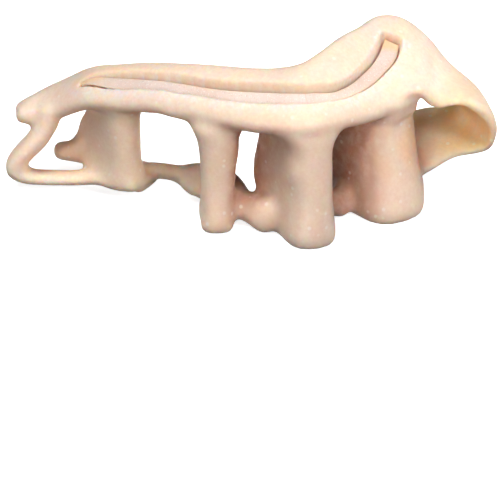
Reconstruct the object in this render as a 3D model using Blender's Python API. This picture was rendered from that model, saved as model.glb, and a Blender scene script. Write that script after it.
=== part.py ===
"""A moulded silicone toe spreader that draws a bunion straight.

It stands on the ends of its posts, as it does when it is put down. X runs across the toes, from the
little toe at -X to the big toe at +X. Y runs along the toes, away from their tips, and Z is up.
A grooved band lies over the toe openings, posts hang from it between the toes, a strap joins the
posts' heels, a thin loop holds the little toe and a wide ring holds the big toe.
"""

from math import cos, pi, radians, sin, sqrt

import bmesh
import bpy
import numpy as np
from mathutils import Vector

MM = 0.001

# Overall size, which the tables of sections share out
HALF_WIDTH = 46.5 * MM
DEPTH = 37.5 * MM
HEIGHT = 35.0 * MM

# Band and big toe ring, one ribbon of silicone
BAND_THICKNESS = 4.8 * MM
RING_WALL = 2.9 * MM

# Groove in the band, and the pale strip on its floor. The far wall leans over a share of the
# groove's width. The strip's ends stay back by a share of the last step in the groove's table.
GROOVE_DEPTH = 3.1 * MM
FAR_WALL_SLOPE = 0.42
INLAY_THICKNESS = 0.8 * MM
INLAY_CLEARANCE = 0.3 * MM
INLAY_END_GAP = 0.3

# Strap behind the posts, and little toe loop
STRAP_HEIGHT = 3.4 * MM
STRAP_DEPTH = 4.0 * MM
LOOP_THICKNESS = 3.3 * MM
LOOP_DEPTH = 6.0 * MM

# Depth of a post's head under the band's face, as a share of the band's thickness, its sideways
# spread where it meets the band, and the share of its height where the spread starts
HEAD_SINK = 0.7
HEAD_SPREAD = 2.0 * MM
SPREAD_START = 0.82

# Rounding of the posts' feet: the share of a post's height that it takes, and how much of the
# foot's squared width it takes away
FOOT_ROUND_RISE = 0.12
FOOT_ROUNDING = 0.3

# Bulge of the posts' feet, the bars' ends and the ribbon's ends
END_BULGE = 1.2 * MM

# Sections: a squareness of 2 is a plain ellipse. Rings count the sections along a form.
SQUARENESS = 2.6
SECTION_POINTS = 20
RIBBON_SQUARENESS = 2.8
RIBBON_POINTS = 32
POST_RINGS = 26
GROOVE_RINGS = 53

# Blending of the joined forms into one skin
VOXEL = 0.7 * MM
SMOOTHING_PASSES = 10
KEPT_FACES = 0.18
SMALLEST_BODY = 1.0 * MM**3
CUT_MARGIN = 2.0 * MM

# Ribbon sections from the band's tip to the end of the ring. near and far are the corners of its
# outer face, at the toe tip side and the foot side: x as a share of HALF_WIDTH, y of DEPTH and z of
# HEIGHT. crown is the rise of the face's middle over its corners, as a share of DEPTH, and ring is
# how far the thickness has gone from BAND_THICKNESS to RING_WALL.
RIBBON = (
    # name, near x, near y, near z, far x, far y, far z, crown, ring
    ("tip", -0.97, 0.71, 0.445, -0.98, 0.88, 0.435, 0.01, 0.7),
    ("little_toe", -0.845, 0.67, 0.47, -0.875, 0.92, 0.50, 0.01, 0.5),
    ("little_toe_inside", -0.69, 0.55, 0.60, -0.70, 0.84, 0.68, 0.01, 0.4),
    ("post_1", -0.545, 0.45, 0.64, -0.57, 0.75, 0.76, 0.01, 0.2),
    ("toe_4", -0.345, 0.32, 0.70, -0.35, 0.64, 0.83, 0.01, 0.1),
    ("post_2", -0.14, 0.20, 0.69, -0.155, 0.52, 0.88, 0.01, 0.0),
    ("toe_3", 0.05, 0.105, 0.695, 0.05, 0.44, 0.90, 0.01, 0.0),
    ("post_3", 0.24, 0.04, 0.725, 0.20, 0.40, 0.95, 0.01, 0.0),
    ("toe_2", 0.385, 0.125, 0.705, 0.295, 0.48, 0.975, 0.01, 0.0),
    ("post_4", 0.53, 0.28, 0.665, 0.41, 0.66, 0.975, 0.01, 0.0),
    ("lobe", 0.62, 0.37, 0.70, 0.53, 0.85, 1.0, 0.02, 0.2),
    ("lobe_side", 0.69, 0.43, 0.745, 0.655, 0.93, 0.94, 0.03, 0.6),
    ("ring_top", 0.785, 0.45, 0.64, 0.76, 0.955, 0.80, 0.02, 1.0),
    ("ring_shoulder", 0.895, 0.48, 0.66, 0.835, 0.96, 0.635, 0.025, 1.0),
    ("ring_upper_side", 0.965, 0.49, 0.60, 0.885, 0.96, 0.54, 0.04, 1.0),
    ("ring_side", 1.02, 0.52, 0.50, 0.905, 0.96, 0.45, 0.035, 1.0),
    ("ring_lower_side", 1.035, 0.545, 0.39, 0.905, 0.96, 0.38, 0.035, 1.0),
    ("ring_corner", 1.015, 0.57, 0.28, 0.85, 0.96, 0.33, 0.04, 1.0),
    ("ring_floor_outer", 0.93, 0.585, 0.23, 0.775, 0.96, 0.31, 0.02, 1.0),
    ("ring_floor", 0.845, 0.585, 0.215, 0.715, 0.96, 0.295, 0.01, 1.0),
    ("ring_floor_inner", 0.74, 0.545, 0.13, 0.615, 0.88, 0.27, 0.0, 1.0),
    ("under_post_4", 0.585, 0.48, 0.065, 0.49, 0.75, 0.21, 0.0, 1.0),
    ("behind_post_4", 0.425, 0.39, 0.02, 0.36, 0.54, 0.12, 0.0, 1.0),
)

# Groove edges: a place along the ribbon, in sections from its tip, and a share across its face.
# depth is a share of GROOVE_DEPTH.
GROOVE = (
    # near place, near share, far place, far share, depth
    (1.85, 0.42, 1.85, 0.48, 0.45),
    (2.4, 0.36, 2.4, 0.66, 0.6),
    (3.0, 0.34, 3.0, 0.72, 0.8),
    (4.0, 0.33, 4.0, 0.68, 0.95),
    (5.0, 0.345, 5.0, 0.655, 1.0),
    (6.0, 0.37, 6.0, 0.69, 1.0),
    (7.0, 0.36, 7.0, 0.63, 1.0),
    (7.6, 0.33, 7.5, 0.58, 1.0),
    (8.2, 0.31, 7.9, 0.52, 1.0),
    (8.7, 0.33, 8.4, 0.525, 1.0),
    (9.25, 0.345, 8.9, 0.59, 1.0),
    (9.9, 0.38, 9.35, 0.64, 1.0),
    (10.35, 0.46, 9.65, 0.71, 1.0),
    (10.6, 0.62, 9.9, 0.79, 1.0),
)

# Posts between the toes. front_x and front_y place the front of the foot and foot_z its lowest
# point, as shares. head_at is the head's place along the ribbon, in sections from its tip, and
# head_share the place of its front across the ribbon's face. yaw turns the back towards -X and
# hook bends it there. waist_rise is the waist's height as a share of the post's.
POST_COLUMNS = (
    "name", "front_x", "front_y", "foot_z", "head_at", "head_share", "yaw", "hook", "waist_rise",
    "foot_width", "waist_width", "head_width", "foot_depth", "waist_depth", "head_depth",
)
POSTS = (
    ("post_1", -0.505, 0.49, 0.085, 3.05, 0.15, radians(8), 9.5 * MM, 0.22,
     10.0 * MM, 7.8 * MM, 7.4 * MM, 9.0 * MM, 13.5 * MM, 8.5 * MM),
    ("post_2", -0.13, 0.17, -0.02, 5.0, -0.07, radians(6), 0.0 * MM, 0.38,
     6.8 * MM, 6.6 * MM, 7.6 * MM, 12.5 * MM, 6.8 * MM, 10.0 * MM),
    ("post_3", 0.28, 0.015, -0.02, 7.2, -0.05, radians(12), 7.5 * MM, 0.38,
     10.2 * MM, 9.4 * MM, 9.0 * MM, 10.5 * MM, 16.0 * MM, 14.0 * MM),
    ("post_4", 0.65, 0.28, -0.02, 9.95, 0.06, radians(26), 8.0 * MM, 0.40,
     14.0 * MM, 14.5 * MM, 13.0 * MM, 14.0 * MM, 23.5 * MM, 20.0 * MM),
)

# Strap stations from its free stub to the ring, as shares, with height and depth as shares of
# STRAP_HEIGHT and STRAP_DEPTH
STRAP = (
    # x, y, z, height, depth
    (-0.81, 0.81, 0.15, 1.15, 0.95),
    (-0.76, 0.80, 0.15, 1.2, 1.0),
    (-0.66, 0.76, 0.16, 1.7, 1.0),
    (-0.50, 0.69, 0.11, 1.2, 0.9),
    (-0.38, 0.65, 0.105, 0.9, 0.8),
    (-0.30, 0.61, 0.115, 1.1, 0.9),
    (-0.235, 0.56, 0.115, 1.9, 1.4),
    (-0.15, 0.52, 0.105, 2.2, 1.6),
    (-0.08, 0.47, 0.095, 2.0, 1.3),
    (-0.02, 0.31, 0.095, 1.75, 1.0),
    (0.06, 0.225, 0.095, 1.8, 1.1),
    (0.20, 0.25, 0.095, 1.6, 1.1),
    (0.36, 0.385, 0.085, 1.5, 1.1),
    (0.46, 0.50, 0.09, 1.5, 1.1),
    (0.54, 0.60, 0.075, 1.3, 1.1),
)

# Little toe loop from the band's end round to the first post's foot, as shares, with its
# thickness and depth as shares of LOOP_THICKNESS and LOOP_DEPTH
LOOP = (
    # x, y, z, thickness, depth
    (-0.84, 0.76, 0.44, 1.5, 1.1),
    (-0.855, 0.74, 0.36, 1.3, 1.0),
    (-0.895, 0.71, 0.28, 1.25, 1.0),
    (-0.96, 0.69, 0.195, 1.2, 1.0),
    (-1.0, 0.675, 0.12, 1.1, 0.95),
    (-0.95, 0.66, 0.075, 0.85, 0.85),
    (-0.83, 0.655, 0.065, 0.75, 0.8),
    (-0.69, 0.64, 0.07, 0.75, 0.85),
    (-0.58, 0.59, 0.085, 0.9, 1.0),
    (-0.48, 0.55, 0.10, 1.1, 1.0),
)

SILICONE_COLOUR = (0.86, 0.68, 0.52, 1.0)
INLAY_COLOUR = (0.80, 0.68, 0.62, 1.0)


def placed(x, y, z):
    """A point given as shares of the overall size."""
    return np.array((x * HALF_WIDTH, y * DEPTH, z * HEIGHT))


def unit(vector):
    return vector / np.linalg.norm(vector)


def smooth_at(rows, place):
    """The row of numbers at a fractional place along a table, on a smooth curve through its rows."""
    rows = np.asarray(rows, float)
    first = min(max(int(place), 0), len(rows) - 2)
    part = place - first
    before, after = rows[max(first - 1, 0)], rows[min(first + 2, len(rows) - 1)]
    start, end = rows[first], rows[first + 1]
    return 0.5 * (
        2 * start
        + (end - before) * part
        + (2 * before - 5 * start + 4 * end - after) * part**2
        + (3 * start - before - 3 * end + after) * part**3
    )


def places(rows, steps):
    """Fractional places along a table, with a number of steps from each row to the next."""
    return np.linspace(0, len(rows) - 1, (len(rows) - 1) * steps + 1)


def ribbon_numbers(place):
    """The numbers of a ribbon section at a fractional place along the ribbon."""
    return smooth_at([row[1:] for row in RIBBON], place)


def ribbon_edges(place):
    """The near and far corners of the ribbon's outer face at a place along it."""
    numbers = ribbon_numbers(place)
    return placed(*numbers[0:3]), placed(*numbers[3:6])


def ribbon_build(place):
    """The ribbon's thickness and the rise of its face's middle at a place along it."""
    crown, ring = ribbon_numbers(place)[6:8]
    return BAND_THICKNESS + (RING_WALL - BAND_THICKNESS) * ring, crown * DEPTH


def ribbon_middle(place):
    near, far = ribbon_edges(place)
    return (near + far) / 2


def ribbon_normal(place):
    """The direction out of the ribbon's outer face at a place along it."""
    step = 0.25
    last = len(RIBBON) - 1
    along = ribbon_middle(min(place + step, last)) - ribbon_middle(max(place - step, 0))
    near, far = ribbon_edges(place)
    return unit(np.cross(along, far - near))


def on_ribbon(place, share, height=0.0):
    """A point on the ribbon's outer face, or a height above it."""
    near, far = ribbon_edges(place)
    _, crown = ribbon_build(place)
    rise = crown * (1 - (2 * share - 1) ** 2)
    return near + (far - near) * share + ribbon_normal(place) * (rise + height)


def oval(centre, across, up, width, height, squareness=SQUARENESS, points=SECTION_POINTS):
    """A closed ring of points on a superellipse."""
    ring = []
    for turn in np.arange(points) * 2 * pi / points:
        c, s = cos(turn), sin(turn)
        reach = (abs(c) ** squareness + abs(s) ** squareness) ** (-1 / squareness)
        ring.append(centre + across * (c * reach * width / 2) + up * (s * reach * height / 2))
    return ring


def bulged(rings):
    """Adds a smaller ring beyond each end, so that the ends are round."""
    ends = []
    for end, inner in ((rings[0], rings[1]), (rings[-1], rings[-2])):
        middle = np.mean(end, axis=0)
        out = unit(middle - np.mean(inner, axis=0)) * END_BULGE
        ends.append([middle + (point - middle) * 0.8 + out for point in end])
    return [ends[0], *rings, ends[1]]


def loft(mesh, rings):
    """Adds a closed skin through rings of points to a bmesh, capped at both ends."""
    verts = [[mesh.verts.new(Vector(point)) for point in ring] for ring in rings]
    count = len(verts[0])
    for one, two in zip(verts, verts[1:]):
        for i in range(count):
            j = (i + 1) % count
            mesh.faces.new((one[i], one[j], two[j], two[i]))
    mesh.faces.new(list(reversed(verts[0])))
    mesh.faces.new(verts[-1])


def add_ribbon(mesh):
    """The band and the big toe ring."""
    rings = []
    for place in places(RIBBON, 3):
        near, far = ribbon_edges(place)
        thickness, crown = ribbon_build(place)
        width = np.linalg.norm(far - near)
        across, normal = (far - near) / width, ribbon_normal(place)
        centre = (near + far) / 2 - normal * thickness / 2
        ring = oval(centre, across, normal, width, thickness, RIBBON_SQUARENESS, RIBBON_POINTS)
        shares = [2 * np.dot(point - centre, across) / width for point in ring]
        rings.append([p + normal * crown * (1 - t * t) for p, t in zip(ring, shares)])
    loft(mesh, bulged(rings))


def add_post(mesh, post):
    """A post between two toes, with its head sunk in the band."""
    thickness, _ = ribbon_build(post["head_at"])
    head = on_ribbon(post["head_at"], post["head_share"], -HEAD_SINK * thickness)
    foot = placed(post["front_x"], post["front_y"], post["foot_z"])
    back = np.array((-sin(post["yaw"]), cos(post["yaw"]), 0.0))
    side = np.array((cos(post["yaw"]), sin(post["yaw"]), 0.0))
    sizes = [(post[level + "_width"], post[level + "_depth"]) for level in ("foot", "waist", "head")]
    waist = post["waist_rise"]
    rings = []
    for rise in np.linspace(0.0, 1.0, POST_RINGS):
        level = rise / waist if rise < waist else 1 + (rise - waist) / (1 - waist)
        roundness = sqrt(1 - FOOT_ROUNDING * max(0, 1 - rise / FOOT_ROUND_RISE) ** 2)
        width, depth = smooth_at(sizes, level) * roundness
        width += 2 * HEAD_SPREAD * max(0, (rise - SPREAD_START) / (1 - SPREAD_START)) ** 2
        front = foot + (head - foot) * rise
        ring = oval(front + back * depth / 2 / roundness, side, back, width, depth)
        deepness = [np.dot(point - front, back) / post["waist_depth"] for point in ring]
        rings.append([p - side * post["hook"] * max(d, 0) ** 2 for p, d in zip(ring, deepness)])
    loft(mesh, bulged(rings))


def add_bar(mesh, rows, thickness, depth):
    """A bar through a table's stations, its thickness in the bend's plane and its depth along Y."""
    rings = []
    last = len(rows) - 1
    for place in places(rows, 4):
        row = smooth_at(rows, place)
        ahead = placed(*smooth_at(rows, min(place + 0.25, last))[:3])
        behind = placed(*smooth_at(rows, max(place - 0.25, 0))[:3])
        along = unit(ahead - behind)
        deep = unit(np.array((0.0, 1.0, 0.0)) - along * along[1])
        thin = np.cross(deep, along)
        rings.append(oval(placed(*row[:3]), deep, thin, depth * row[4], thickness * row[3]))
    loft(mesh, bulged(rings))


def groove_rings(clearance, thickness, end_gap=0.0):
    """Four-cornered rings that fill the groove from a clearance off its floor and walls."""
    rings = []
    for place in np.linspace(end_gap, len(GROOVE) - 1 - end_gap, GROOVE_RINGS):
        near_at, near_share, far_at, far_share, depth = smooth_at(GROOVE, place)
        floor = GROOVE_DEPTH * depth
        low = clearance - floor
        high = low + thickness
        near, far = on_ribbon(near_at, near_share), on_ribbon(far_at, far_share)
        across = far - near
        inward = unit(across) * clearance
        near_up, far_up = ribbon_normal(near_at), ribbon_normal(far_at)
        far_walls = [far - inward + across * (height / floor * FAR_WALL_SLOPE) for height in (high, low)]
        rings.append([
            near + inward + near_up * high,
            far_walls[0] + far_up * high,
            far_walls[1] + far_up * low,
            near + inward + near_up * low,
        ])
    return rings


def new_object(name, mesh):
    """An object from a bmesh, with its faces turned outwards."""
    bmesh.ops.recalc_face_normals(mesh, faces=mesh.faces)
    data = bpy.data.meshes.new(name)
    mesh.to_mesh(data)
    mesh.free()
    made = bpy.data.objects.new(name, data)
    bpy.context.scene.collection.objects.link(made)
    return made


def material(name, colour, roughness):
    made = bpy.data.materials.new(name)
    made.use_nodes = True
    shader = made.node_tree.nodes["Principled BSDF"]
    shader.inputs["Base Color"].default_value = colour
    shader.inputs["Roughness"].default_value = roughness
    shader.inputs["Metallic"].default_value = 0.0
    return made


def cutter(name, mesh):
    made = new_object(name, mesh)
    made.hide_render = True
    made.display_type = "WIRE"
    return made


def cut(target, tool):
    """Takes a cutter's shape away from the target."""
    modifier = target.modifiers.new("cut " + tool.name, "BOOLEAN")
    modifier.operation = "DIFFERENCE"
    modifier.solver = "EXACT"
    modifier.object = tool


def evaluated_mesh(made):
    """The mesh of an object with its modifiers, as a bmesh."""
    bpy.context.view_layer.update()
    mesh = bmesh.new()
    mesh.from_object(made, bpy.context.evaluated_depsgraph_get())
    return mesh


def fill_pockets(mesh):
    """Deletes the skins of sealed pockets, which face inwards, so that the body is solid there."""
    left = set(mesh.faces)
    while left:
        skin, front = set(), [left.pop()]
        while front:
            face = front.pop()
            skin.add(face)
            beside = {near for edge in face.edges for near in edge.link_faces} & left
            left -= beside
            front += beside
        volume = sum(face.calc_center_median().dot(face.normal) * face.calc_area() for face in skin) / 3
        if volume < SMALLEST_BODY:
            bmesh.ops.delete(mesh, geom=list(skin), context="FACES")


def make_toe_frame():
    """The whole moulding: every form is joined and blended in one skin."""
    mesh = bmesh.new()
    add_ribbon(mesh)
    for row in POSTS:
        add_post(mesh, dict(zip(POST_COLUMNS, row)))
    add_bar(mesh, STRAP, STRAP_HEIGHT, STRAP_DEPTH)
    add_bar(mesh, LOOP, LOOP_THICKNESS, LOOP_DEPTH)
    forms = new_object("forms", mesh)
    skin = forms.modifiers.new("skin", "REMESH")
    skin.mode = "VOXEL"
    skin.voxel_size = VOXEL
    blend = forms.modifiers.new("blend", "SMOOTH")
    blend.factor = 0.5
    blend.iterations = SMOOTHING_PASSES
    thin = forms.modifiers.new("thin", "DECIMATE")
    thin.ratio = KEPT_FACES
    blended = evaluated_mesh(forms)
    bpy.data.objects.remove(forms)
    fill_pockets(blended)
    frame = new_object("toe_frame", blended)
    frame.data.shade_smooth()
    return frame


def make_groove_cutter():
    mesh = bmesh.new()
    loft(mesh, groove_rings(0.0, GROOVE_DEPTH + CUT_MARGIN))
    return cutter("groove_cutter", mesh)


def make_floor_cutter():
    """A slab under the surface that the feet stand on."""
    mesh = bmesh.new()
    bmesh.ops.create_cube(mesh, size=1.0)
    size = Vector((4 * HALF_WIDTH, 4 * DEPTH, HEIGHT))
    bmesh.ops.scale(mesh, vec=size, verts=mesh.verts)
    bmesh.ops.translate(mesh, vec=(0, DEPTH / 2, -HEIGHT / 2), verts=mesh.verts)
    return cutter("floor_cutter", mesh)


def make_inlay():
    """The pale strip that lies on the groove's floor."""
    mesh = bmesh.new()
    loft(mesh, groove_rings(INLAY_CLEARANCE, INLAY_THICKNESS, INLAY_END_GAP))
    return new_object("groove_inlay", mesh)


def centre_on_floor(root, frame):
    """Moves the part so that its box is centred on the origin and stands on the floor."""
    bpy.context.view_layer.update()
    evaluated = frame.evaluated_get(bpy.context.evaluated_depsgraph_get())
    points = np.array([evaluated.matrix_world @ v.co for v in evaluated.data.vertices])
    low, high = points.min(axis=0), points.max(axis=0)
    root.location = (-(low[0] + high[0]) / 2, -(low[1] + high[1]) / 2, -low[2])
    bpy.context.view_layer.update()


def main():
    for old in list(bpy.data.objects):
        bpy.data.objects.remove(old)
    root = bpy.data.objects.new("toe_spreader", None)
    bpy.context.scene.collection.objects.link(root)
    frame = make_toe_frame()
    tools = (make_groove_cutter(), make_floor_cutter())
    for tool in tools:
        cut(frame, tool)
    inlay = make_inlay()
    frame.data.materials.append(material("silicone", SILICONE_COLOUR, 0.55))
    inlay.data.materials.append(material("pale silicone", INLAY_COLOUR, 0.4))
    for piece in (frame, inlay, *tools):
        piece.parent = root
    centre_on_floor(root, frame)


main()
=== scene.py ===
import math

import bmesh
import bpy
import numpy as np
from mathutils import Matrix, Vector, noise
from mathutils.bvhtree import BVHTree
from mathutils.kdtree import KDTree


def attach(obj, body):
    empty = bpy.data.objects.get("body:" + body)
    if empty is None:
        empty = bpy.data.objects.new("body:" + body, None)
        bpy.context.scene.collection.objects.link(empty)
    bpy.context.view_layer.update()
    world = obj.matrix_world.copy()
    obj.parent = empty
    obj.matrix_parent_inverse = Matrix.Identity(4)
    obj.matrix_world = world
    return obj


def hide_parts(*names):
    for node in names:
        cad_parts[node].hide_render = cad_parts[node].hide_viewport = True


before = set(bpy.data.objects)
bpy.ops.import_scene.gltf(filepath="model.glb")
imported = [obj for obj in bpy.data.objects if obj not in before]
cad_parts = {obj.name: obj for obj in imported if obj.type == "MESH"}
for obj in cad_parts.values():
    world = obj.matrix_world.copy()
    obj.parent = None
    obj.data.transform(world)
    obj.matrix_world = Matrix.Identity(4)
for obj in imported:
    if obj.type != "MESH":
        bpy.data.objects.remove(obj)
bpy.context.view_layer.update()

MM = 0.001

# The point on the floor that the photograph's middle looks at
AIM = Vector((0.0002, -0.0182, 0.0))
CAMERA_ELEVATION = math.radians(30)
CAMERA_DISTANCE = 0.6
CLIP_START = 0.01
VIEW_WIDTH = 0.095
SENSOR_WIDTH = 36.0
FLOOR_REACH = 3.0
VIEW_GAMMA = 0.82

# The soft boxes: name, turn from the camera and height in degrees, size in metres, power in watts
# and colour
LIGHTS = (
    ("key", 46, 30, 0.35, 6.3, (1.0, 0.985, 0.985)),
    ("top", -70, 68, 0.5, 9.3, (1.0, 0.99, 0.985)),
    ("front", -12, 16, 0.3, 5.5, (1.0, 0.985, 0.985)),
    ("back right", 120, 20, 0.3, 6.0, (1.0, 0.97, 0.93)),
)
LIT_PLACE = Vector((0.0, 0.0, 0.015))
LIGHT_DISTANCE = 1.2

# The lamp for the big toe ring's inside, and the way to it from there
RING_MIDDLE = Vector((0.040, 0.0, 0.0155))
LAMP_WAY = Vector((-0.47, -0.74, 0.48))
LAMP_DISTANCE = 0.3
LAMP_POWER = 2.2
LAMP_CONE = math.radians(7)
LAMP_SIZE = 0.02

SILICONE_IOR = 1.41


# Camera, floor and light

def link(made):
    bpy.context.scene.collection.objects.link(made)
    return made


def aim(made, target):
    made.rotation_mode = "QUATERNION"
    made.rotation_quaternion = (target - made.location).to_track_quat("-Z", "Y")


def make_camera():
    camera = link(bpy.data.objects.new("camera", bpy.data.cameras.new("camera")))
    up, back = math.sin(CAMERA_ELEVATION), math.cos(CAMERA_ELEVATION)
    camera.location = AIM + Vector((0.0, -back, up)) * CAMERA_DISTANCE
    aim(camera, AIM)
    camera.data.sensor_width = SENSOR_WIDTH
    camera.data.lens = SENSOR_WIDTH * CAMERA_DISTANCE / VIEW_WIDTH
    camera.data.clip_start = CLIP_START
    bpy.context.scene.camera = camera


def make_light(name, kind, place, target, power, colour):
    light = link(bpy.data.objects.new(name, bpy.data.lights.new(name, kind)))
    light.location = place
    light.data.energy = power
    light.data.color = colour
    aim(light, target)
    return light.data


def make_floor():
    """A pale floor that throws little light back up, so that the toe openings stay deep."""
    mesh = bpy.data.meshes.new("floor")
    far = FLOOR_REACH
    corners = [(-far, -far, 0), (far, -far, 0), (far, far, 0), (-far, far, 0)]
    mesh.from_pydata(corners, [], [(0, 1, 2, 3)])
    floor = link(bpy.data.objects.new("floor", mesh))
    floor.visible_diffuse = False
    paper = bpy.data.materials.new("pale floor")
    paper.use_nodes = True
    shader = paper.node_tree.nodes["Principled BSDF"]
    shader.inputs["Base Color"].default_value = (0.85, 0.85, 0.85, 1.0)
    shader.inputs["Roughness"].default_value = 0.9
    shader.inputs["Specular IOR Level"].default_value = 0.1
    shader.inputs["Emission Color"].default_value = (1.0, 1.0, 1.0, 1.0)
    shader.inputs["Emission Strength"].default_value = 0.75
    mesh.materials.append(paper)


def make_world():
    """A soft studio sky: bright overhead, dim at the horizon and dark below."""
    world = bpy.data.worlds.new("studio")
    world.use_nodes = True
    tree = world.node_tree
    background = tree.nodes["Background"]
    place = tree.nodes.new("ShaderNodeTexCoord")
    split = tree.nodes.new("ShaderNodeSeparateXYZ")
    tree.links.new(place.outputs["Generated"], split.inputs[0])
    height = tree.nodes.new("ShaderNodeMapRange")
    for socket, value in (("From Min", 0.0), ("From Max", 0.9), ("To Min", 0.005), ("To Max", 0.10)):
        height.inputs[socket].default_value = value
    tree.links.new(split.outputs["Z"], height.inputs["Value"])
    tree.links.new(height.outputs["Result"], background.inputs["Strength"])
    background.inputs["Color"].default_value = (1.0, 1.0, 1.0, 1.0)
    bpy.context.scene.world = world
    view = bpy.context.scene.view_settings
    view.view_transform = "Standard"
    view.gamma = VIEW_GAMMA


def make_lights():
    """Soft boxes round the part, and a soft-edged lamp aimed at the big toe ring's inside."""
    for name, turn, height, size, power, colour in LIGHTS:
        turn, height = math.radians(turn), math.radians(height)
        level = math.cos(height)
        out = Vector((math.sin(turn) * level, -math.cos(turn) * level, math.sin(height)))
        box = make_light(name, "AREA", LIT_PLACE + out * LIGHT_DISTANCE, LIT_PLACE, power, colour)
        box.size = size
    place = RING_MIDDLE + LAMP_WAY * LAMP_DISTANCE
    lamp = make_light("ring lamp", "SPOT", place, RING_MIDDLE, LAMP_POWER, (1.0, 0.93, 0.88))
    lamp.spot_size = LAMP_CONE
    lamp.spot_blend = 1.0
    lamp.shadow_soft_size = LAMP_SIZE


make_camera()
make_floor()
make_world()
make_lights()


# Materials

class Nodes:
    """Short calls for building a node material."""

    def __init__(self, name):
        self.material = bpy.data.materials.new(name)
        self.material.use_nodes = True
        self.tree = self.material.node_tree
        self.shader = self.tree.nodes["Principled BSDF"]
        self.place = self.tree.nodes.new("ShaderNodeTexCoord").outputs["Object"]

    def add(self, kind, **values):
        node = self.tree.nodes.new(kind)
        for key, value in values.items():
            setattr(node, key, value)
        return node

    def join(self, source, target):
        self.tree.links.new(source, target)

    def noise(self, scale, detail=3.0, roughness=0.55, seed=0.0):
        """Noise of a size per metre, moved aside by a seed."""
        shift = self.add("ShaderNodeVectorMath", operation="ADD")
        shift.inputs[1].default_value = (seed, seed * 0.7, -seed * 0.4)
        self.join(self.place, shift.inputs[0])
        node = self.add("ShaderNodeTexNoise")
        node.inputs["Scale"].default_value = scale
        node.inputs["Detail"].default_value = detail
        node.inputs["Roughness"].default_value = roughness
        self.join(shift.outputs[0], node.inputs["Vector"])
        return node.outputs["Fac"]

    def ramp(self, value, low, high, low_out=0.0, high_out=1.0):
        """A value taken from one range to another, held at both ends."""
        node = self.add("ShaderNodeMapRange")
        ends = {"From Min": low, "From Max": high, "To Min": low_out, "To Max": high_out}
        for socket, number in ends.items():
            node.inputs[socket].default_value = number
        self.join(value, node.inputs["Value"])
        return node.outputs["Result"]

    def mix(self, amount, one, two):
        """A colour between two, each a colour or a socket."""
        node = self.add("ShaderNodeMix", data_type="RGBA")
        self.join(amount, node.inputs["Factor"])
        for socket, colour in ((node.inputs[6], one), (node.inputs[7], two)):
            if isinstance(colour, tuple):
                socket.default_value = (*colour, 1.0)
            else:
                self.join(colour, socket)
        return node.outputs[2]

    def math(self, operation, one, two):
        node = self.add("ShaderNodeMath", operation=operation)
        for socket, value in ((node.inputs[0], one), (node.inputs[1], two)):
            if isinstance(value, (int, float)):
                socket.default_value = value
            else:
                self.join(value, socket)
        return node.outputs[0]

    def specks(self, scale, size, share, seed):
        """Scattered round dots: 1 in a dot and 0 outside it."""
        shift = self.add("ShaderNodeVectorMath", operation="ADD")
        shift.inputs[1].default_value = (seed, -seed, seed * 0.5)
        self.join(self.place, shift.inputs[0])
        cells = self.add("ShaderNodeTexVoronoi")
        cells.inputs["Scale"].default_value = scale
        self.join(shift.outputs[0], cells.inputs["Vector"])
        dot = self.ramp(cells.outputs["Distance"], size * 0.5, size, 1.0, 0.0)
        pick = self.add("ShaderNodeSeparateColor")
        self.join(cells.outputs["Color"], pick.inputs[0])
        chosen = self.math("LESS_THAN", pick.outputs[0], share)
        return self.math("MULTIPLY", dot, chosen)

    def bump(self, height, strength, distance, under=None):
        node = self.add("ShaderNodeBump")
        node.inputs["Strength"].default_value = strength
        node.inputs["Distance"].default_value = distance
        self.join(height, node.inputs["Height"])
        if under is not None:
            self.join(under, node.inputs["Normal"])
        return node.outputs["Normal"]


def attribute(nodes, name):
    return nodes.add("ShaderNodeAttribute", attribute_name=name).outputs["Fac"]


def base_tints(nodes):
    """The silicone's even flesh colour, drifting between two warm tones and a pinker one, with painted
    shade in ochre on the groove's far wall.
    """
    warm = nodes.ramp(nodes.noise(75, 3, seed=0.3), 0.38, 0.68)
    colour = nodes.mix(warm, (0.92, 0.78, 0.655), (0.93, 0.77, 0.63))
    pink = nodes.ramp(nodes.noise(48, 4, seed=1.7), 0.5, 0.8, 0.0, 0.6)
    colour = nodes.mix(pink, colour, (0.88, 0.73, 0.63))
    # Painted shade: the groove's far wall coloured ochre, as it looks in shade
    far_wall_painted_shade = nodes.math("MULTIPLY", attribute(nodes, "groove"), 0.75)
    return nodes.mix(far_wall_painted_shade, colour, (0.87, 0.62, 0.40))


def painted_shade_tint(nodes, colour):
    """Painted shade: the colour darkened where the surface is closed in, and painted shadow on the low
    straps behind the posts, set by their place.
    """
    # Painted shade, stronger the less open the surface is, and held off in the big toe ring
    deep = nodes.ramp(attribute(nodes, "openness"), 0.22, 0.80, 1.0, 0.0)
    outside_ring = nodes.ramp(attribute(nodes, "in_ring"), 0.0, 1.0, 1.0, 0.05)
    deep = nodes.math("MULTIPLY", deep, outside_ring)
    split = nodes.add("ShaderNodeSeparateXYZ")
    nodes.join(nodes.place, split.inputs[0])
    across, along, up = split.outputs
    inner_side = nodes.ramp(across, -10 * MM, -4 * MM)
    before_ring = nodes.ramp(across, 20 * MM, 24 * MM, 1.0, 0.0)
    # Painted shadow on the low straps behind the posts, set by height, depth and side
    low = nodes.ramp(up, 7 * MM, 10 * MM, 0.75, 0.0)
    behind = nodes.ramp(along, -11 * MM, -8.5 * MM)
    between = nodes.math("MULTIPLY", inner_side, before_ring)
    strap_painted_shadow = nodes.math("MULTIPLY", nodes.math("MULTIPLY", low, behind), between)
    deep = nodes.math("MAXIMUM", deep, strap_painted_shadow)
    # The painted shade's colour: a dark reddish brown, and a paler one towards the tip
    return nodes.mix(deep, colour, nodes.mix(inner_side, (0.86, 0.60, 0.42), (0.55, 0.27, 0.17)))


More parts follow.
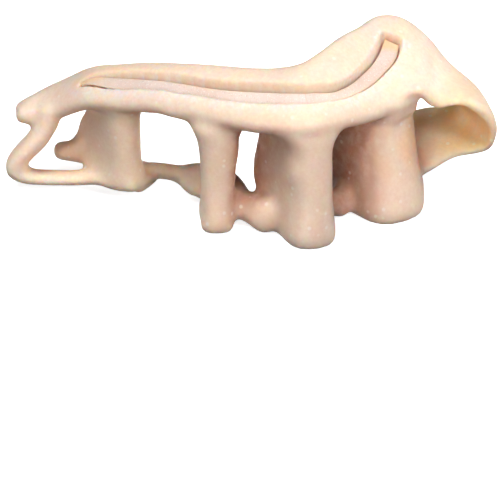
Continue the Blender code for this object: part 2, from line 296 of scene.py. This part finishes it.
def ring_painted_glow(nodes, colour):
    """Painted light: the big toe ring's inside coloured orange and lit up, standing for light that comes
    through the thin wall.
    """
    inside = nodes.math("MULTIPLY", attribute(nodes, "in_ring"), 0.7)
    colour = nodes.mix(inside, colour, (0.98, 0.62, 0.40))
    # Painted glow on the far inner wall of the big toe ring
    painted_glow = nodes.ramp(attribute(nodes, "ring_inside"), 0.1, 0.7, 0.0, 0.95)
    return nodes.mix(painted_glow, colour, (1.0, 0.64, 0.34))


def silicone_material():
    """Flesh-coloured silicone: milky, satin, mottled, with dust and fine pores, and with painted shade in
    the closed-in places and a painted glow in the big toe ring.
    """
    nodes = Nodes("satin silicone")
    shader = nodes.shader
    colour = ring_painted_glow(nodes, painted_shade_tint(nodes, base_tints(nodes)))
    # The near lip paler in patches: partly the pale layer's grainy edge, partly painted light that fills
    # the thin shadow line beside the strip
    lip_patches = nodes.ramp(nodes.noise(900, 3, seed=7.7), 0.4, 0.6, 0.2, 0.9)
    lip = nodes.math("MULTIPLY", attribute(nodes, "lip"), lip_patches)
    colour = nodes.mix(lip, colour, (0.90, 0.82, 0.78))
    grain = nodes.noise(1500, 3, seed=2.2)
    colour = nodes.mix(nodes.ramp(grain, 0.35, 0.75, 0.0, 0.28), colour, (0.74, 0.52, 0.38))
    mottle = nodes.ramp(nodes.noise(420, 4, 0.65, seed=8.3), 0.45, 0.75, 0.0, 0.35)
    colour = nodes.mix(mottle, colour, (0.95, 0.84, 0.75))
    dust = nodes.specks(620, 0.3, 0.14, 0.9)
    colour = nodes.mix(nodes.math("MULTIPLY", dust, 0.4), colour, (1.0, 0.95, 0.90))
    nodes.join(colour, shader.inputs["Base Color"])
    sheen_patches = nodes.ramp(nodes.noise(260, 4, seed=3.1), 0.3, 0.7, 0.42, 0.56)
    nodes.join(sheen_patches, shader.inputs["Roughness"])
    waves = nodes.bump(nodes.noise(300, 3, seed=4.4), 0.25, 0.25 * MM)
    pores = nodes.bump(grain, 0.22, 0.08 * MM, waves)
    nodes.join(nodes.bump(dust, 0.2, 0.04 * MM, pores), shader.inputs["Normal"])
    shader.inputs["Subsurface Weight"].default_value = 0.7
    shader.inputs["Subsurface Radius"].default_value = (1.0, 0.42, 0.16)
    thin_wall = nodes.ramp(attribute(nodes, "in_ring"), 0.0, 1.0, 2.2 * MM, 8.0 * MM)
    nodes.join(thin_wall, shader.inputs["Subsurface Scale"])
    shader.inputs["IOR"].default_value = SILICONE_IOR
    return nodes.material


def strip_material():
    """The groove's pale granular layer: greyish pink, with bright grains, and painted shade in orange at
    its ring end.
    """
    nodes = Nodes("pale granular silicone")
    shader = nodes.shader
    tone = nodes.ramp(nodes.noise(110, 4, seed=0.8), 0.35, 0.7)
    colour = nodes.mix(tone, (0.78, 0.64, 0.57), (0.83, 0.72, 0.67))
    along = nodes.ramp(nodes.noise(40, 2, seed=5.0), 0.45, 0.7, 0.0, 0.5)
    colour = nodes.mix(along, colour, (0.78, 0.60, 0.48))
    grains = nodes.specks(2600, 0.42, 0.5, 1.3)
    colour = nodes.mix(nodes.math("MULTIPLY", grains, 0.55), colour, (0.93, 0.88, 0.86))
    pits = nodes.specks(2100, 0.4, 0.3, 2.6)
    colour = nodes.mix(nodes.math("MULTIPLY", pits, 0.4), colour, (0.62, 0.47, 0.42))
    blotch = nodes.ramp(nodes.noise(500, 3, seed=4.9), 0.35, 0.65, 0.55, 1.0)
    beside = nodes.math("MULTIPLY", attribute(nodes, "near_wall"), blotch)
    colour = nodes.mix(beside, colour, (0.90, 0.70, 0.53))
    # Painted shade: the strip's ring end coloured orange, as the body colour looks in shade
    ring_end_painted_shade = nodes.math("MULTIPLY", attribute(nodes, "ring_end_painted_shade"), 0.8)
    colour = nodes.mix(ring_end_painted_shade, colour, (0.90, 0.63, 0.40))
    nodes.join(colour, shader.inputs["Base Color"])
    grit = nodes.ramp(nodes.noise(1800, 2, seed=1.9), 0.35, 0.7, 0.3, 0.6)
    nodes.join(grit, shader.inputs["Roughness"])
    rough = nodes.bump(nodes.noise(1400, 4, seed=6.1), 0.6, 0.15 * MM)
    nodes.join(nodes.bump(grains, 0.5, 0.1 * MM, rough), shader.inputs["Normal"])
    shader.inputs["Subsurface Weight"].default_value = 0.45
    shader.inputs["Subsurface Radius"].default_value = (1.0, 0.55, 0.4)
    shader.inputs["Subsurface Scale"].default_value = 1.5 * MM
    shader.inputs["IOR"].default_value = SILICONE_IOR
    return nodes.material


# Silicone added to the solid before its skin is remade: chains of balls, each with the place of its
# middle and its radius in mm
FILLS = {
    "post_4_head": ((24.6, -2.3, 20.6, 2.0), (27.5, -1.9, 20.6, 2.1), (30.3, 0.3, 21.2, 2.0)),
    "post_4_brow": ((25.3, -2.9, 22.4, 2.2), (28.0, -1.6, 22.6, 2.3), (30.4, 0.5, 23.0, 2.2)),
    "stub_root": ((-36.6, 10.9, 5.8, 1.6), (-34.0, 10.6, 6.4, 2.2), (-32.2, 10.2, 8.6, 2.6)),
    "post_1_heel": ((-21.5, 2.5, 3.0, 1.8), (-19.3, 4.6, 3.4, 1.5)),
    "strap_end": ((-12.0, 1.2, 4.0, 1.6), (-10.6, 0.5, 3.2, 1.7)),
    "strap_1_2": ((-19.3, 5.2, 4.9, 1.4), (-16.4, 4.8, 4.9, 1.4), (-13.2, 2.9, 5.3, 1.4)),
}

# Small pulls on the skin, in mm: the place, the move there and how far it reaches
PULLS = {
    "post_2_foot": ((-6.1, -11.0, 0.5), (0.0, -1.1, 0.0), 7.0),
    "post_3_foot": ((10.5, -16.0, 0.5), (-0.3, -1.3, 0.0), 9.0),
    "post_4_foot": ((26.2, -7.0, 0.5), (-0.2, -0.9, 0.0), 9.0),
    "strap_2_3_down": ((2.5, -11.5, 1.5), (0.0, -0.5, -0.9), 3.5),
    "strap_2_3_back": ((0.5, -10.0, 5.0), (0.0, 0.9, -0.6), 3.0),
    "strap_3_4": ((18.5, -5.5, 2.0), (0.0, -0.8, -1.0), 3.0),
    "post_3_corner": ((8.2, -14.0, 14.0), (-0.3, -0.3, 0.0), 3.0),
    "post_2_foot_left": ((-8.6, -10.5, 0.8), (-0.5, -0.4, 0.0), 2.4),
    "post_2_foot_right": ((-3.6, -10.3, 0.8), (0.5, -0.4, 0.0), 2.4),
    "post_1_diagonal": ((-34.3, 10.7, 9.5), (0.8, 0.0, -0.2), 4.0),
    "stub": ((-37.2, 10.8, 6.4), (0.0, 0.0, -0.4), 2.0),
    "loop_bar_bottom": ((-30.0, 2.5, 2.0), (0.0, 0.3, 0.5), 4.0),
    "band_edge": ((-14.0, -6.0, 23.5), (0.0, 0.0, -0.6), 4.0),
    "post_2_left": ((-10.0, -8.5, 18.0), (-0.5, 0.0, 0.0), 3.5),
    "post_2_right": ((-2.5, -8.0, 16.0), (0.4, 0.0, 0.0), 4.0),
    "ring_floor": ((38.0, 4.0, 8.0), (0.0, -0.3, -0.7), 6.0),
    "ring_floor_right": ((46.0, 3.0, 10.5), (0.0, 0.0, -0.3), 4.0),
    "lobe_left": ((19.0, 5.5, 32.7), (-0.2, 0.0, 0.8), 6.0),
    "lobe": ((27.0, 13.0, 33.0), (0.0, 0.0, 0.4), 6.0),
    "lobe_right": ((35.0, 12.5, 28.5), (0.3, 0.0, 0.4), 5.0),
    "ring_top_right": ((42.0, 5.0, 23.5), (-0.3, 0.0, -0.4), 5.0),
    "ring_right": ((47.5, 2.0, 15.0), (0.4, 0.0, 0.0), 5.0),
    "tip": ((-45.5, 11.0, 15.2), (0.4, 0.0, 0.1), 3.0),
    "tip_top": ((-40.0, 14.0, 17.5), (0.0, 0.0, 0.5), 5.0),
    "tip_neck": ((-42.2, 12.0, 14.8), (0.0, 0.0, 0.6), 3.0),
    "loop_gap": ((-33.5, 7.5, 3.0), (0.4, 0.0, 0.0), 3.0),
    "post_4_right": ((33.2, -2.4, 6.0), (0.5, 0.0, 0.0), 4.0),
    "top_right_opening": ((33.0, 0.0, 23.8), (0.2, 0.0, 0.5), 2.0),
}


# How far apart the balls of a chain stand
BALL_STEP = 0.5 * MM


def filled(mesh):
    """A copy of the solid's mesh with the chains of balls laid into it."""
    body = bmesh.new()
    body.from_mesh(mesh)
    for chain in FILLS.values():
        for one, two in zip(chain, chain[1:]):
            one, two = Vector(one) * MM, Vector(two) * MM
            steps = max(1, round((two - one).xyz.length / BALL_STEP))
            for step in range(steps + 1):
                ball = one.lerp(two, step / steps)
                made = bmesh.ops.create_icosphere(body, subdivisions=2, radius=ball[3])
                bmesh.ops.translate(body, vec=ball.xyz, verts=made["verts"])
    made = bpy.data.meshes.new("filled")
    body.to_mesh(made)
    body.free()
    return made


def pulled(points):
    """The points moved by the small pulls, each of which fades out smoothly."""
    moved = points.copy()
    for place, move, reach in PULLS.values():
        away = np.linalg.norm(points - np.array(place) * MM, axis=1) / (reach * MM)
        moved += np.array(move) * MM * np.exp(-2 * away**2)[:, None]
    return moved


# Pieces

def evaluated_copy(name, mesh, modifiers):
    """A new object with a mesh and modifiers, applied."""
    maker = link(bpy.data.objects.new(name + "_maker", mesh.copy()))
    for kind, values in modifiers:
        modifier = maker.modifiers.new(kind.lower(), kind)
        for key, value in values.items():
            setattr(modifier, key, value)
    bpy.context.view_layer.update()
    evaluated = maker.evaluated_get(bpy.context.evaluated_depsgraph_get())
    made = bpy.data.meshes.new_from_object(evaluated)
    bpy.data.objects.remove(maker)
    made.name = name
    made.materials.clear()
    made.shade_smooth()
    return link(bpy.data.objects.new(name, made))


def points_and_normals(mesh):
    points = np.empty(len(mesh.vertices) * 3)
    normals = np.empty(len(mesh.vertices) * 3)
    mesh.vertices.foreach_get("co", points)
    mesh.vertices.foreach_get("normal", normals)
    return points.reshape(-1, 3), normals.reshape(-1, 3)


def noise_at(points, size, seed):
    """Smooth noise from -1 to 1 with features of a size."""
    shift = Vector((seed, seed * 1.7, -seed))
    return np.array([noise.noise(Vector(p) / size + shift) for p in points])


def set_points(mesh, points):
    mesh.vertices.foreach_set("co", points.ravel())
    mesh.update()


# How far the groove's tints reach from the strip: the painted shade on the far wall, the paler near lip
# with painted light, and all round, where the painted shade of closed-in places is held off
FAR_WALL_REACH = 3 * MM
LIP_START = 2.2 * MM
LIP_FADE = 1.2 * MM
GROOVE_REACH = 2.2 * MM


def near_strip(points):
    """Nearness to the groove's strip: on the far wall over it, on the near lip and on all sides."""
    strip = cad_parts["groove_inlay"].data
    tree = KDTree(len(strip.vertices))
    for vertex in strip.vertices:
        tree.insert(vertex.co, vertex.index)
    tree.balance()
    found = [tree.find(point) for point in points]
    away = np.array([hit[2] for hit in found])
    behind = points[:, 1] - np.array([hit[0].y for hit in found])
    far_wall = np.clip(1 - away / FAR_WALL_REACH, 0, 1) * np.clip(behind / (0.8 * MM), 0, 1)
    near_lip = np.clip(1 - (away - LIP_START) / LIP_FADE, 0, 1) * np.clip(-behind / (0.3 * MM), 0, 1)
    return far_wall, near_lip, np.clip(1.8 - away / GROOVE_REACH, 0, 1)


# The big toe ring's opening as an ellipse: its middle and its half width and height in X and Z
RING_OPENING = ((38 * MM, 15.5 * MM), (9 * MM, 8 * MM))
GLOW_CENTRE = np.array([35.0, 0.0, 16.0]) * MM


def in_ring(points):
    """How far each point is inside the big toe ring's wall."""
    (x, z), (half_width, half_height) = RING_OPENING
    away = np.hypot((points[:, 0] - x) / half_width, (points[:, 2] - z) / half_height)
    return np.clip((1.15 - away) / 0.3, 0, 1)


# The mask for the painted glow in the big toe ring
def ring_inside(points, normals):
    """How far each point is on the inner wall of the big toe ring, on its far side."""
    out = (points - GLOW_CENTRE) * [1, 0, 1]
    reach = np.linalg.norm(out, axis=1) + 0.1 * MM
    inward = -(normals * out).sum(axis=1) / reach
    far_side = np.clip((points[:, 0] - GLOW_CENTRE[0]) / (7 * MM), 0, 1)
    return np.clip(inward, 0, 1) * far_side * np.clip(reach / (4 * MM), 0, 1)


# Rays all round each point, how near something has to be to stand in one's way, and what a ray that
# goes down to the floor counts
SKY_DIRECTIONS = 64
SKY_REACH = 22 * MM
SKY_START = 0.2 * MM
LEAST_FACING = 0.1
FLOOR_SHARE = 0.4
SMOOTHING_PASSES = 6


def openness(mesh, points, normals):
    """The share of the light round each point that nothing near holds back."""
    faces = [tuple(face.vertices) for face in mesh.polygons]
    tree = BVHTree.FromPolygons([Vector(point) for point in points], faces)
    turns = np.arange(SKY_DIRECTIONS) * math.pi * (1 + math.sqrt(5))
    heights = 1 - (2 * np.arange(SKY_DIRECTIONS) + 1) / SKY_DIRECTIONS
    level = np.sqrt(1 - heights**2)
    sky = np.stack([level * np.cos(turns), level * np.sin(turns), heights], axis=1)
    facing = normals @ sky.T
    starts = points + normals * SKY_START
    light = np.where(heights < 0, FLOOR_SHARE, 1.0)
    free = np.zeros(len(points))
    rays = [Vector(way) for way in sky]
    for i, start in enumerate(starts):
        origin = Vector(start)
        for k in np.flatnonzero(facing[i] > LEAST_FACING):
            if tree.ray_cast(origin, rays[k], SKY_REACH)[0] is None:
                free[i] += facing[i, k] * light[k]
    free /= np.where(facing > LEAST_FACING, facing, 0).sum(axis=1)
    return averaged(mesh, free, SMOOTHING_PASSES)


def averaged(mesh, values, passes):
    """Values at a mesh's points, each taken towards the mean of its neighbours."""
    edges = np.empty(len(mesh.edges) * 2, int)
    mesh.edges.foreach_get("vertices", edges)
    one, two = edges.reshape(-1, 2).T
    count = np.bincount(one, minlength=len(values)) + np.bincount(two, minlength=len(values))
    for _ in range(passes):
        around = np.bincount(one, values[two], len(values))
        around += np.bincount(two, values[one], len(values))
        values = (values + around) / (1 + count)
    return values


def add_value(mesh, name, values):
    mesh.attributes.new(name, "FLOAT", "POINT").data.foreach_set("value", values)


VOXEL_SIZE = 0.4 * MM

# The skin's unevenness: the height and length of its waves, and their seed
SKIN_WAVES = ((0.10 * MM, 7 * MM, 2.0), (0.03 * MM, 2.2 * MM, 5.0))


def make_body():
    """The moulding with a fine smooth skin, slightly uneven as cast silicone is."""
    body = evaluated_copy("silicone_moulding", filled(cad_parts["toe_frame"].data), [
        ("REMESH", {"mode": "VOXEL", "voxel_size": VOXEL_SIZE}),
        ("SMOOTH", {"factor": 0.5, "iterations": 8}),
    ])
    mesh = body.data
    points, normals = points_and_normals(mesh)
    lift = sum(height * noise_at(points, size, seed) for height, size, seed in SKIN_WAVES)
    points = pulled(points + normals * lift[:, None])
    points[:, 2] = np.maximum(points[:, 2], 0.0)
    set_points(mesh, points)
    # Masks for the painted shade, the lip's painted light and the big toe ring's painted glow
    far_wall, near_lip, in_groove = near_strip(points)
    add_value(mesh, "groove", far_wall)
    add_value(mesh, "lip", near_lip)
    add_value(mesh, "in_ring", in_ring(points))
    add_value(mesh, "ring_inside", ring_inside(points, normals))
    add_value(mesh, "openness", np.maximum(openness(mesh, points, normals), in_groove))
    mesh.materials.append(silicone_material())
    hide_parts("toe_frame")
    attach(body, "root")


# The layer is bonded to the groove's walls, so it swells over the solid's clearance and a little more
WALL_CONTACT = 0.42 * MM
STRIP_WAVES = (0.08 * MM, 1.2 * MM, 1.0)


def near_wall(points):
    """How far each point of the strip blends into the walls or the tip's end, and how near it is to the
    ring's end, which takes painted shade.
    """
    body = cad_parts["toe_frame"].data
    faces = [tuple(face.vertices) for face in body.polygons]
    tree = BVHTree.FromPolygons([vertex.co for vertex in body.vertices], faces)
    away = np.array([tree.find_nearest(point)[3] for point in points])
    low, high = points.min(axis=0), points.max(axis=0)
    wall = np.clip((0.85 * MM - away) / (0.6 * MM), 0, 1)
    ring_end_painted_shade = np.clip((points[:, 1] - high[1] + 3.6 * MM) / (1.2 * MM), 0, 1)
    tip_end = np.clip((low[0] + 7 * MM - points[:, 0]) / (6 * MM), 0, 1)
    return np.maximum(wall, tip_end), ring_end_painted_shade


def make_strip():
    """The pale strip on the groove's floor, uneven and swollen into the walls."""
    strip = evaluated_copy("pale_strip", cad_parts["groove_inlay"].data, [
        ("SUBSURF", {"subdivision_type": "SIMPLE", "levels": 3, "render_levels": 3}),
    ])
    mesh = strip.data
    points, normals = points_and_normals(mesh)
    height, size, seed = STRIP_WAVES
    lift = WALL_CONTACT + height * noise_at(points, size, seed)
    points += normals * lift[:, None]
    set_points(mesh, points)
    beside, ring_end_painted_shade = near_wall(points)
    add_value(mesh, "near_wall", beside)
    add_value(mesh, "ring_end_painted_shade", ring_end_painted_shade)
    mesh.materials.append(strip_material())
    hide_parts("groove_inlay")
    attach(strip, "root")


make_body()
make_strip()
